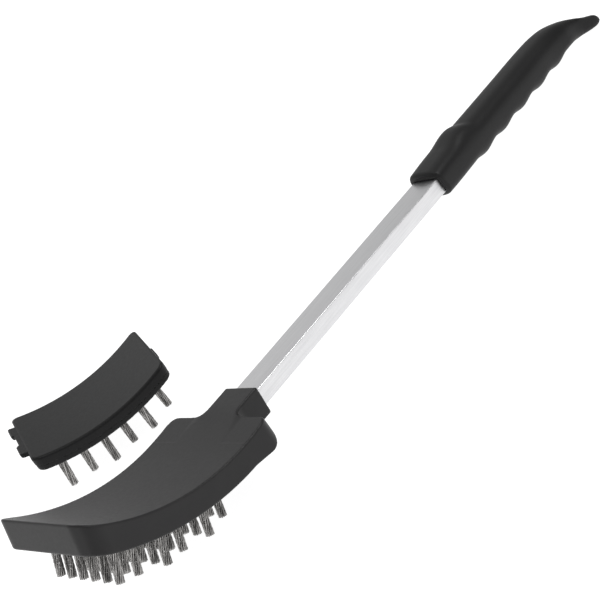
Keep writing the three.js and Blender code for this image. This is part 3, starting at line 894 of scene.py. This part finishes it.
def grip_moulding(name, **look):
    """Satin along the grip, and duller towards the tail."""
    tail_start, tail_end, tail_shine = 0.19, 0.235, 0.04
    material, tree, shader = moulded_plastic(name, **look)
    shine = shader.inputs["Specular IOR Level"]
    where = tree.nodes.new("ShaderNodeTexCoord")
    split = tree.nodes.new("ShaderNodeSeparateXYZ")
    tree.links.new(where.outputs["Object"], split.inputs["Vector"])
    spread(tree, split.outputs["X"], shine.default_value, tail_shine, shine, tail_start, tail_end)
    return material


def satin_aluminium(name):
    material, tree, shader = new_material(name)
    grain = noise(tree, 2200, 3, (0.02, 1, 1))
    tint(tree, grain, (0.62, 0.62, 0.63), (0.70, 0.70, 0.71), shader.inputs["Base Color"])
    shader.inputs["Metallic"].default_value = 1.0
    spread(tree, noise(tree, 400, 4, (0.15, 1, 1)), 0.30, 0.42, shader.inputs["Roughness"])
    bump(tree, shader, grain, 0.000006)
    return material


def rope_steel(name):
    material, tree, shader = new_material(name)
    tone = tree.nodes.new("ShaderNodeAttribute")
    tone.attribute_name = "tone"
    dark, light = (0.12, 0.117, 0.113), (0.46, 0.45, 0.44)
    tint(tree, tone.outputs["Fac"], dark, light, shader.inputs["Base Color"])
    shader.inputs["Metallic"].default_value = 1.0
    spread(tree, noise(tree, 900, 3), 0.22, 0.36, shader.inputs["Roughness"])
    bump(tree, shader, noise(tree, 3000, 2), 0.00001)
    return material


def plated_steel(name):
    material, tree, shader = new_material(name)
    dark, light = (0.50, 0.50, 0.51), (0.66, 0.66, 0.67)
    tint(tree, noise(tree, 500, 4), dark, light, shader.inputs["Base Color"])
    shader.inputs["Metallic"].default_value = 1.0
    spread(tree, noise(tree, 700, 3), 0.24, 0.40, shader.inputs["Roughness"])
    bump(tree, shader, noise(tree, 2500, 2), 0.000008)
    return material


MATERIALS = {
    "head_plastic": plain_moulding(
        "head_plastic_look", colour=(0.017, 0.0165, 0.017), roughness=0.45, shine=0.26,
        grain=3500, grain_height=0.000012),
    "cartridge_plastic": plain_moulding(
        "cartridge_plastic_look", colour=(0.009, 0.009, 0.0093), roughness=0.48, shine=0.2,
        grain=3500, grain_height=0.000012),
    "grip_plastic": grip_moulding(
        "grip_plastic_look", colour=(0.011, 0.011, 0.0112), roughness=0.46, shine=0.22,
        grain=2600, grain_height=0.000016),
    "plug_plastic": plain_moulding(
        "plug_plastic_look", colour=(0.09, 0.09, 0.1), roughness=0.55, shine=0.4,
        grain=3000, grain_height=0.00001),
    "tube_aluminium": satin_aluminium("tube_aluminium_look"),
    "bristle_steel": rope_steel("bristle_steel_look"),
    "fastener_steel": plated_steel("fastener_steel_look"),
}


def finish_piece(piece, body, slot, node):
    """Gives a piece its finish and its body, and hides the CAD node that it stands for."""
    piece.data.materials.append(MATERIALS[slot])
    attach(piece, body)
    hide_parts(node)


def finish_hidden_nodes():
    """The inner pieces stay as CAD made them, with the look of their material."""
    slots = {s["node"]: s["material_slot"] for s in frame["record"]["subparts"]}
    for node, cad in frame["nodes"].items():
        if not cad.hide_render:
            cad.data.materials.clear()
            cad.data.materials.append(MATERIALS[slots[node]])


# ---- Camera, floor and light ----

# Place from the mouth of the head's socket in millimetres, and angles in degrees.
CAMERA = {"from_mouth": (-391.9, -686.0, 355.8), "heading": 33.591, "down": 22.494,
          "roll": 35.592, "lens": 97.6, "sensor": 36}


def add_camera():
    mouth = HANDLE @ Vector((0, 0, 0))
    heading, down = math.radians(CAMERA["heading"]), math.radians(CAMERA["down"])
    data = bpy.data.cameras.new("camera")
    data.lens = CAMERA["lens"]
    data.sensor_width = CAMERA["sensor"]
    camera = bpy.data.objects.new("camera", data)
    bpy.context.scene.collection.objects.link(camera)
    camera.matrix_world = (
        Matrix.Translation(mouth + Vector(CAMERA["from_mouth"]) * MM)
        @ Matrix.Rotation(-heading, 4, "Z") @ Matrix.Rotation(math.pi / 2 - down, 4, "X")
        @ Matrix.Rotation(-math.radians(CAMERA["roll"]), 4, "Z"))
    bpy.context.scene.camera = camera


# Metres; the glow keeps the pale floor even, as on a light table.
FLOOR = {"half": 12.0, "below": 0.0002, "grey": 0.3, "glow": 0.97}


def add_floor():
    half, z, grey = FLOOR["half"], -FLOOR["below"], FLOOR["grey"]
    points = np.array([(-half, -half, z), (half, -half, z), (half, half, z), (-half, half, z)])
    floor = add_mesh("floor", points, [[0, 1, 2, 3]], Matrix())
    material, _, shader = new_material("floor_look")
    shader.inputs["Base Color"].default_value = (grey, grey, grey, 1)
    shader.inputs["Roughness"].default_value = 0.8
    shader.inputs["Specular IOR Level"].default_value = 0.1
    shader.inputs["Emission Color"].default_value = (1, 1, 1, 1)
    shader.inputs["Emission Strength"].default_value = FLOOR["glow"]
    floor.data.materials.append(material)


def add_light(name, place, aim, size, power):
    data = bpy.data.lights.new(name, "AREA")
    data.shape = "RECTANGLE"
    data.size, data.size_y = size
    data.energy = power
    light = bpy.data.objects.new(name, data)
    light.location = place
    light.rotation_euler = (Vector(aim) - Vector(place)).to_track_quat("-Z", "Y").to_euler()
    bpy.context.scene.collection.objects.link(light)


def add_world(towards, low, high, power):
    """A dim studio with one broad bright side."""
    world = bpy.data.worlds.new("studio")
    bpy.context.scene.world = world
    world.use_nodes = True
    tree = world.node_tree
    where = tree.nodes.new("ShaderNodeTexCoord")
    facing = tree.nodes.new("ShaderNodeVectorMath")
    facing.operation = "DOT_PRODUCT"
    facing.inputs[1].default_value = Vector(towards).normalized()
    tree.links.new(where.outputs["Generated"], facing.inputs[0])
    above = tree.nodes.new("ShaderNodeMath")
    above.operation = "MAXIMUM"
    above.inputs[1].default_value = 0
    tree.links.new(facing.outputs["Value"], above.inputs[0])
    lobe = tree.nodes.new("ShaderNodeMath")
    lobe.operation = "POWER"
    lobe.inputs[1].default_value = power
    tree.links.new(above.outputs["Value"], lobe.inputs[0])
    background = tree.nodes["Background"]
    background.inputs["Color"].default_value = (1, 1, 1, 1)
    spread(tree, lobe.outputs["Value"], low, high, background.inputs["Strength"], 0, 1)


add_camera()
add_floor()
add_world(towards=(0.0, 0.95, 0.3), low=0.33, high=0.95, power=3)
add_light("overhead", place=(-0.1, 0.3, 1.6), aim=(-0.05, 0, 0), size=(1.6, 1.2), power=4.0)
add_light("front", place=(0.25, -0.5, 0.8), aim=(-0.05, -0.05, 0), size=(0.4, 0.4), power=4.0)
add_light("left", place=(-1.3, -0.1, 0.2), aim=(-0.2, -0.05, 0.02), size=(0.4, 0.2), power=1.1)
bpy.context.scene.view_settings.view_transform = "Standard"

ends = bundle_ends()
make_head_shell()
make_tube()
make_grip()
make_screws()
holes = list(ends.values())
make_cartridge_mouldings("cartridge", MOULD, "cartridge", holes)
make_cartridge_mouldings("spare", SPARE, "spare_cartridge", holes)
make_bundles(ends)
finish_hidden_nodes()
